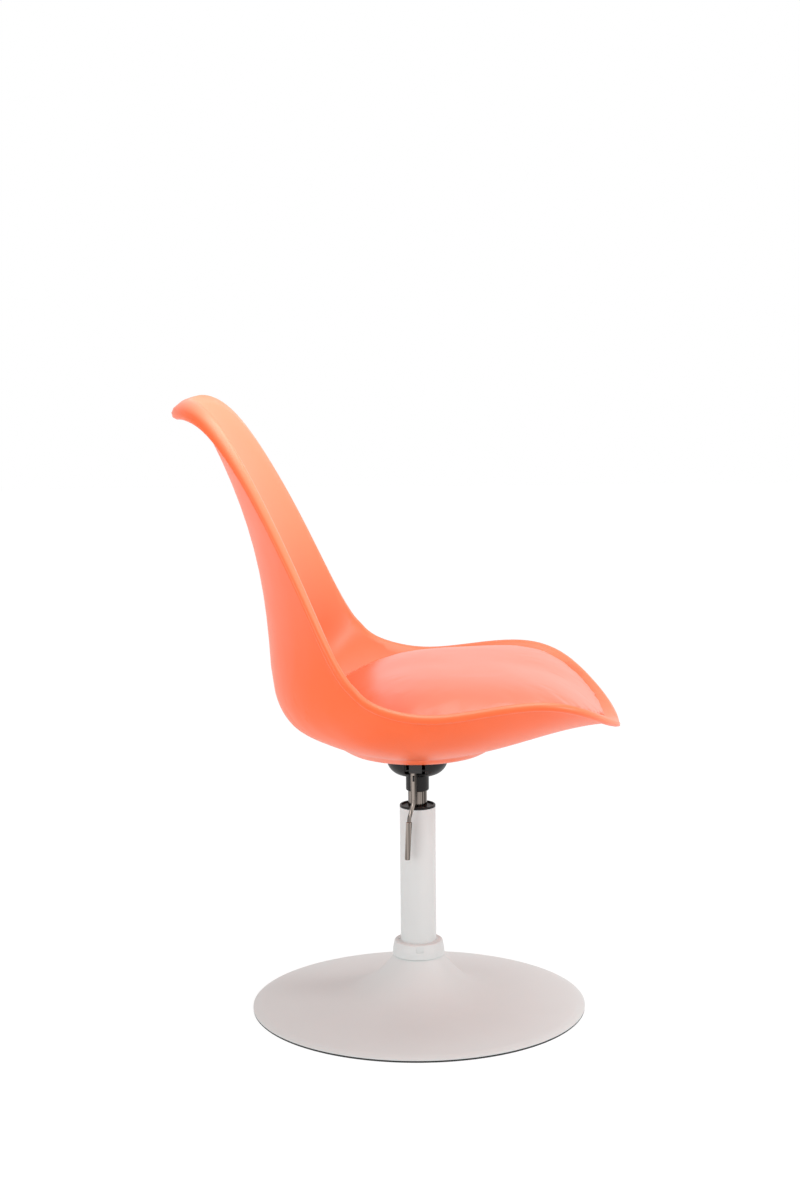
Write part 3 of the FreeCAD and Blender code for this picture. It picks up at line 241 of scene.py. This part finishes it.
# Steelwork: the weight plate and flange in the base, and the channel, plate and lever hub under the
# seat, cut and bent from steel and blackened. Zinc-plated screws, nuts, bolts and a pin hold them.
black_steel = finish("black_steel", colour=(0.02, 0.02, 0.02), roughness=0.45)
dress(black_steel, "base_plate", "column_flange", "collar_screw", "rod_clip", "cone_socket",
      "mechanism_channel", "mounting_plate", "valve_spring", "lever_hub")
zinc = finish("zinc_plate", colour=(0.55, 0.56, 0.58), roughness=0.35, metallic=1.0)
dress(zinc, "flange_screws", "flange_nuts", "lever_pin", "seat_bolts", "bolt_washers",
      "cushion_screws")

# Bearing and piston rod: ground steel races and balls in a brass cage, a ground rod, an aluminium
# piston and valve in a nylon guide, all greased and shut inside the column. The inserts that are
# moulded into the shell are brass too.
ground_steel = finish("ground_steel", colour=(0.6, 0.6, 0.61), roughness=0.22, metallic=1.0)
dress(ground_steel, "bearing_bottom_race", "bearing_top_race", "bearing_balls", "piston_rod",
      "valve_button")
brass = finish("turned_brass", colour=(0.7, 0.5, 0.22), roughness=0.3, metallic=1.0)
dress(brass, "ball_cage", "shell_inserts")
aluminium = finish("turned_aluminium", colour=(0.7, 0.7, 0.72), roughness=0.3, metallic=1.0)
dress(aluminium, "piston", "valve_block")
pale_nylon = finish("pale_nylon", colour=(0.75, 0.74, 0.7), roughness=0.45)
dress(pale_nylon, "cylinder_guide")

# Gas cylinder and lever: hard chrome over polished steel, the lever a flat strip that ends in a
# thin bent rod, with a sleeve pressed on as its grip. Its colour holds painted reflection: a dark
# base for the dark things it would mirror, and upright light and dark streaks painted on it.
reflection_streak_stretch = (900, 900, 12)
reflection_streak_scale = 0.35
reflection_streak_detail = 1.0
reflection_streak_dark = 0.35
reflection_streak_light = 0.65
reflection_streak_strength = 0.75
# Painted reflection: the base colour is kept dark for the dark surroundings that the chrome mirrors.
chrome = finish("bright_chrome", colour=(0.21, 0.18, 0.16), roughness=0.16, metallic=1.0,
                height=0.000002)
nodes, links = chrome.node_tree.nodes, chrome.node_tree.links
shader = nodes["Principled BSDF"]
# Painted reflection: stretched noise lightens and darkens the colour in upright streaks.
place = nodes.new("ShaderNodeTexCoord")
spread = nodes.new("ShaderNodeMapping")
spread.inputs["Scale"].default_value = reflection_streak_stretch
pattern = nodes.new("ShaderNodeTexNoise")
pattern.inputs["Scale"].default_value = reflection_streak_scale
pattern.inputs["Detail"].default_value = reflection_streak_detail
level = nodes.new("ShaderNodeMapRange")
level.inputs["From Min"].default_value = reflection_streak_dark
level.inputs["From Max"].default_value = reflection_streak_light
level.inputs["To Min"].default_value = 1 - reflection_streak_strength
level.inputs["To Max"].default_value = 1 + reflection_streak_strength
shade = nodes.new("ShaderNodeVectorMath")
shade.operation = "SCALE"
links.new(place.outputs["Object"], spread.inputs["Vector"])
links.new(spread.outputs["Vector"], pattern.inputs["Vector"])
links.new(pattern.outputs["Fac"], level.inputs["Value"])
links.new(shader.inputs["Base Color"].links[0].from_socket, shade.inputs[0])
links.new(level.outputs[0], shade.inputs["Scale"])
links.new(shade.outputs[0], shader.inputs["Base Color"])
dress(chrome, "gas_cylinder", "lever", "lever_grip")

# Black mouldings: the bush in the top of the column, the boot round the neck and the round cover
# of the mechanism, moulded in black nylon with a fine satin texture.
nylon_shine = 0.3
black_nylon = finish("black_nylon", colour=(0.006, 0.005, 0.005), roughness=0.42, grain=0.0006)
nylon_shader = black_nylon.node_tree.nodes["Principled BSDF"]
nylon_shader.inputs["Specular IOR Level"].default_value = nylon_shine
dress(black_nylon, "guide_bush", "neck_boot", "mechanism_cover")

# Seat shell: one injection moulding in orange plastic with a satin surface and a rolled rim, bolted
# to the mounting plate through inserts. Its inside has painted light: the faces that turn to the
# front and up are painted a paler orange, more so up the back, as if a lamp lit them from there.
shell_orange = (1.0, 0.142, 0.028)
painted_light_orange = (1.0, 0.38, 0.2)
painted_light_low = 0.5
painted_light_high = 0.84
painted_light_at_seat = 0.25
painted_light_ahead = 1.5
join_within = 0.00002
mix_from, mix_to, mixed = 6, 7, 2


def merged_copy(node, name):
    """A node's mesh copied with its faces joined up."""
    work = bmesh.new()
    work.from_mesh(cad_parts[node].data)
    bmesh.ops.remove_doubles(work, verts=work.verts, dist=join_within)
    bmesh.ops.recalc_face_normals(work, faces=work.faces)
    data = bpy.data.meshes.new(name)
    work.to_mesh(data)
    work.free()
    piece = bpy.data.objects.new(name, data)
    scene.collection.objects.link(piece)
    return piece


def shade_smooth(piece):
    """Light rolls over the piece's faces without edges."""
    for face in piece.data.polygons:
        face.use_smooth = True


moulded_plastic = finish("orange_moulded_plastic", colour=shell_orange, roughness=0.36,
                         change=0.02, grain=0.0007, height=0.00001)
nodes, links = moulded_plastic.node_tree.nodes, moulded_plastic.node_tree.links
shader = nodes["Principled BSDF"]
place = nodes.new("ShaderNodeTexCoord")
parts = nodes.new("ShaderNodeSeparateXYZ")
# Painted light: the higher a point is and the more it faces the front and up, the more paler orange
# is mixed in.
height = nodes.new("ShaderNodeMapRange")
height.inputs["From Min"].default_value = painted_light_low
height.inputs["From Max"].default_value = painted_light_high
height.inputs["To Min"].default_value = painted_light_at_seat
lit_facing = nodes.new("ShaderNodeAttribute")
lit_facing.attribute_name = "inside"
share = nodes.new("ShaderNodeMath")
share.operation = "MULTIPLY"
painted_light_mix = nodes.new("ShaderNodeMix")
painted_light_mix.data_type = "RGBA"
painted_light_mix.inputs[mix_to].default_value = (*painted_light_orange, 1)
links.new(place.outputs["Object"], parts.inputs["Vector"])
links.new(parts.outputs["Z"], height.inputs["Value"])
links.new(height.outputs[0], share.inputs[0])
links.new(lit_facing.outputs["Fac"], share.inputs[1])
links.new(share.outputs[0], painted_light_mix.inputs[0])
links.new(shader.inputs["Base Color"].links[0].from_socket, painted_light_mix.inputs[mix_from])
links.new(painted_light_mix.outputs[mixed], shader.inputs["Base Color"])

shell = merged_copy("seat_shell", "bucket_shell")
shade_smooth(shell)
# Painted light: each point's share of the paler orange is how far it faces the front and up.
inside = shell.data.attributes.new("inside", "FLOAT", "POINT")
for point in shell.data.vertices:
    facing = point.normal.x * painted_light_ahead + point.normal.z
    inside.data[point.index].value = min(max(facing, 0.0), 1.0)
shell.data.materials.clear()
shell.data.materials.append(moulded_plastic)
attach(shell, "lift")
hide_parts("seat_shell")

# Cushion board: a bare plywood panel that carries the foam, cut to sit inside the cushion's cover.
# Screws that come up through the shell's floor hold it, so that the cushion can be taken off.
plywood = finish("plain_plywood", colour=(0.5, 0.36, 0.2), roughness=0.6)
dress(plywood, "cushion_board")

# Cushion: foam on the board under one piece of imitation leather, pulled over and stapled
# underneath, so it has a full smooth crown and no seam on show.
pad_voxel = 0.005
smooth_share = 0.5
smooth_rounds = 12
cover_stands = 0.001
held_below = 0.15
swell_limit = 0.0015
swell_pressure = 4.0
swell_frames = 20
rounding = 1
leather_coat = 0.35
leather_coat_roughness = 0.3


def apply_modifiers(piece):
    """The piece keeps the shape that its modifiers give it."""
    shaped = piece.evaluated_get(bpy.context.evaluated_depsgraph_get())
    data = bpy.data.meshes.new_from_object(shaped)
    piece.modifiers.clear()
    piece.data = data


cushion = merged_copy("cushion_foam", "seat_cushion")
remesh = cushion.modifiers.new("even_mesh", "REMESH")
remesh.mode = "VOXEL"
remesh.voxel_size = pad_voxel
settle = cushion.modifiers.new("even_skin", "SMOOTH")
settle.factor = smooth_share
settle.iterations = smooth_rounds
cover = cushion.modifiers.new("cover_over_foam", "DISPLACE")
cover.mid_level = 0
cover.strength = cover_stands
apply_modifiers(cushion)

held = cushion.vertex_groups.new(name="held")
for point in cushion.data.vertices:
    held.add([point.index], 1.0 if point.normal.z < held_below else 0.0, "REPLACE")
start = [point.co.copy() for point in cushion.data.vertices]
cloth = cushion.modifiers.new("stretched_cover", "CLOTH")
cloth.settings.use_pressure = True
cloth.settings.uniform_pressure_force = swell_pressure
cloth.settings.effector_weights.gravity = 0
cloth.settings.vertex_group_mass = "held"
for number in range(1, swell_frames + 1):
    scene.frame_set(number)
apply_modifiers(cushion)
scene.frame_set(1)
for point, before in zip(cushion.data.vertices, start):
    moved = point.co - before
    if moved.length > swell_limit:
        point.co = before + moved.normalized() * swell_limit

round_off = cushion.modifiers.new("rounded", "SUBSURF")
round_off.levels = rounding
round_off.render_levels = rounding
apply_modifiers(cushion)
shade_smooth(cushion)
leather = finish("orange_imitation_leather", colour=(1.0, 0.165, 0.07), roughness=0.34,
                 change=0.02, grain=0.0012, height=0.00004)
leather_shader = leather.node_tree.nodes["Principled BSDF"]
leather_shader.inputs["Coat Weight"].default_value = leather_coat
leather_shader.inputs["Coat Roughness"].default_value = leather_coat_roughness
cushion.data.materials.clear()
cushion.data.materials.append(leather)
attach(cushion, "lift")
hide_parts("cushion_cover", "cushion_foam")
